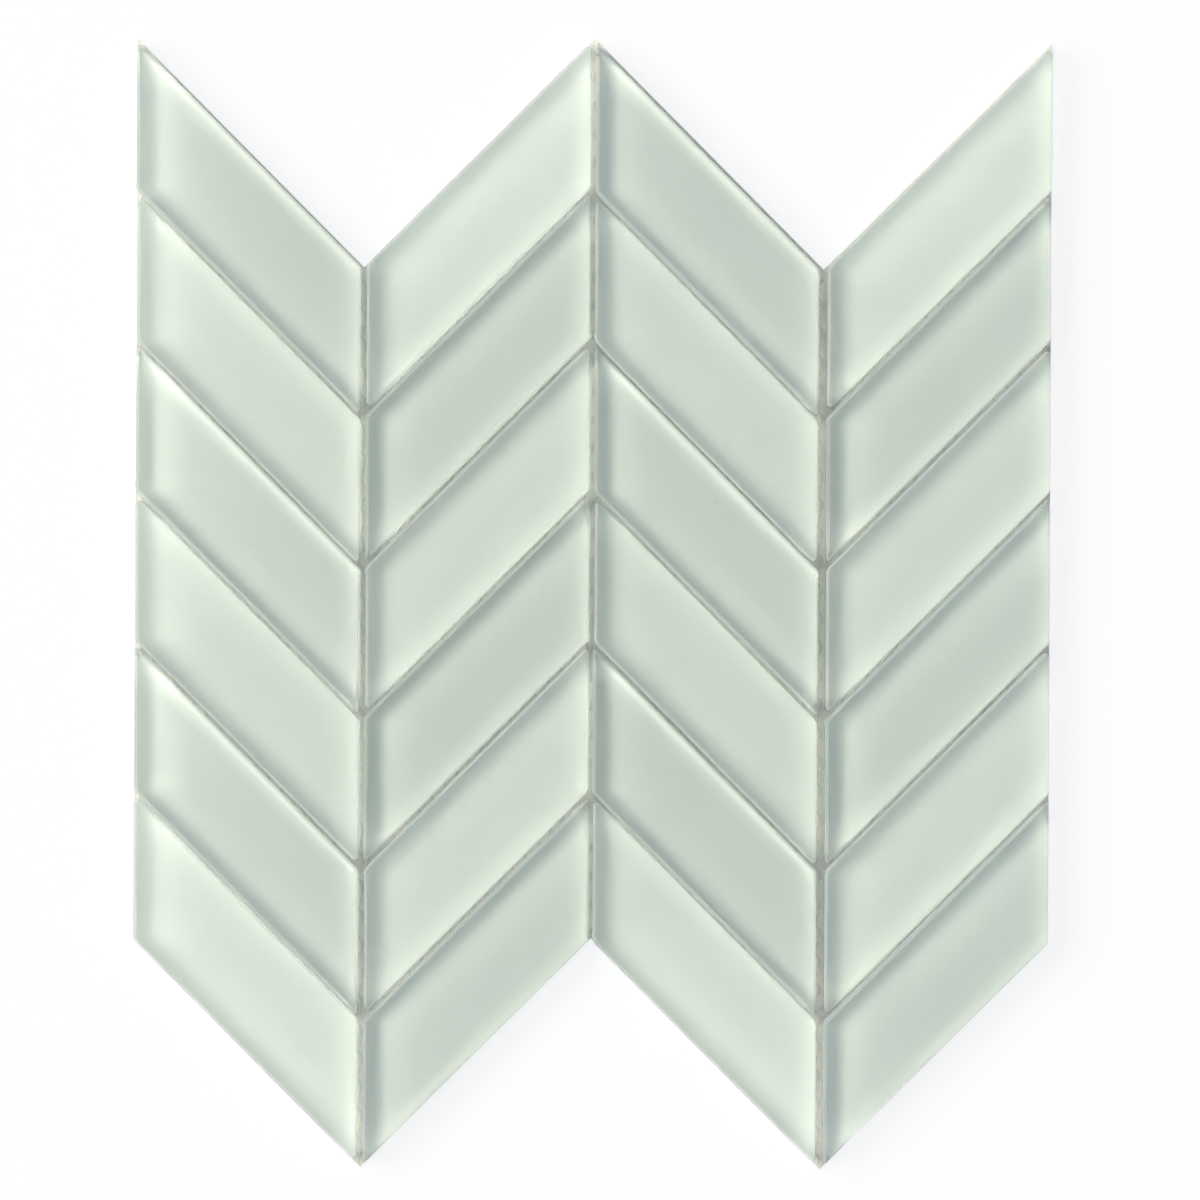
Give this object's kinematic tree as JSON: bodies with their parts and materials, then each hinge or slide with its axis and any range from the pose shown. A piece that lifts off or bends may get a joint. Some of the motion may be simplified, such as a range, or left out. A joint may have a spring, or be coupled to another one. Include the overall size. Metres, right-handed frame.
{
  "type": "glass mosaic wall tile sheet",
  "caption": "Mesh-mounted wall tile sheet of pale sage back-painted glass parallelogram chips laid as upright chevrons, with zigzag top and bottom edges that fit the next sheet.",
  "frame": {"origin": "centre of the sheet's outline, on the back face of the mesh", "axes": "+Z out of the wall through the glass faces, +Y up the wall along the columns, +X to the right across the columns, seen from the front"},
  "size_m": [0.2498, 0.3088, 0.0086],
  "materials": {
    "glass": "clear glass with a pale sage enamel fired on its back, polished and satin chips by turns",
    "backing": "fibreglass mesh filled with dried adhesive, matt"
  },
  "bodies": {
    "root": {"glass_chip_a1": "glass", "glass_chip_a2": "glass", "glass_chip_a3": "glass", "glass_chip_a4": "glass", "glass_chip_a5": "glass", "glass_chip_a6": "glass", "glass_chip_b1": "glass", "glass_chip_b2": "glass", "glass_chip_b3": "glass", "glass_chip_b4": "glass", "glass_chip_b5": "glass", "glass_chip_b6": "glass", "glass_chip_c1": "glass", "glass_chip_c2": "glass", "glass_chip_c3": "glass", "glass_chip_c4": "glass", "glass_chip_c5": "glass", "glass_chip_c6": "glass", "glass_chip_d1": "glass", "glass_chip_d2": "glass", "glass_chip_d3": "glass", "glass_chip_d4": "glass", "glass_chip_d5": "glass", "glass_chip_d6": "glass", "mesh_backing": "backing"}
  },
  "joints": []
}
